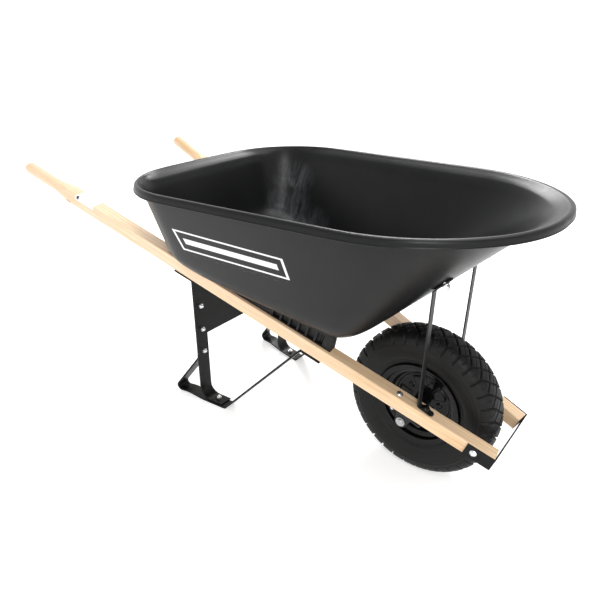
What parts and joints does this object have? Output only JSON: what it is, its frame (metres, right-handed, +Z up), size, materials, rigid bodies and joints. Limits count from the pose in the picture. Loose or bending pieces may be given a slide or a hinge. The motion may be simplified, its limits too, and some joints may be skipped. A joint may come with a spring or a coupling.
{
  "type": "wheelbarrow",
  "caption": "Garden wheelbarrow with a deep moulded tray, two straight wooden handles, black strap-steel legs and braces and one pneumatic wheel.",
  "frame": {"origin": "on the ground, under the centre of the bounding box", "axes": "+X forward to the wheel, +Y to the left, +Z up"},
  "size_m": [1.4691, 0.7113, 0.7566],
  "materials": {
    "tray_plastic": "satin moulded polyethylene, fine grain",
    "handle_wood": "pale sawn hardwood, clear sealed",
    "riser_plastic": "moulded, ribbed",
    "powder_coat": "black powder coat",
    "bracket_iron": "black painted casting",
    "rim_paint": "gloss black",
    "tyre_rubber": "dull black rubber",
    "tube_rubber": "dull black rubber",
    "cap_plastic": "black",
    "black_bolt": "gloss black",
    "bearing_steel": "turned",
    "axle_steel": "dull zinc plate",
    "zinc_steel": "zinc plate"
  },
  "bodies": {
    "frame": {"axle": "axle_steel", "axle_bracket_left": "bracket_iron", "axle_bracket_right": "bracket_iron", "axle_rings": "axle_steel", "axle_spacer_left": "axle_steel", "axle_spacer_right": "axle_steel", "brace_bolts": "zinc_steel", "brace_foot_bolts": "black_bolt", "brace_nuts": "zinc_steel", "bracket_bolts": "zinc_steel", "bracket_nuts": "zinc_steel", "foot_bolts": "zinc_steel", "foot_nuts": "zinc_steel", "foot_strap_left": "powder_coat", "foot_strap_right": "powder_coat", "front_tray_bolts": "black_bolt", "handle_left": "handle_wood", "handle_right": "handle_wood", "leg_cross_plate": "powder_coat", "leg_left": "powder_coat", "leg_right": "powder_coat", "nose_bolts": "zinc_steel", "nose_nuts": "zinc_steel", "nose_strap": "powder_coat", "rear_tray_bolts": "black_bolt", "riser_left": "riser_plastic", "riser_right": "riser_plastic", "strap_bolts": "zinc_steel", "strap_nuts": "zinc_steel", "tray": "tray_plastic", "tray_bolt_nuts": "zinc_steel", "tray_brace_left": "powder_coat", "tray_brace_right": "powder_coat", "washers": "zinc_steel"},
    "wheel": {"tyre": "tyre_rubber", "inner_tube": "tube_rubber", "valve_stem": "tube_rubber", "valve_cap": "cap_plastic", "rim_left": "rim_paint", "rim_right": "rim_paint", "wheel_hub": "rim_paint", "bearing_left": "bearing_steel", "bearing_right": "bearing_steel", "rim_bolts": "zinc_steel", "rim_nuts": "zinc_steel"}
  },
  "joints": [
    {"name": "wheel_spin", "type": "hinge", "parent": "frame", "child": "wheel", "pos_m": [0.4989, 0, 0.203], "axis": [0, 1, 0], "continuous": true}
  ]
}
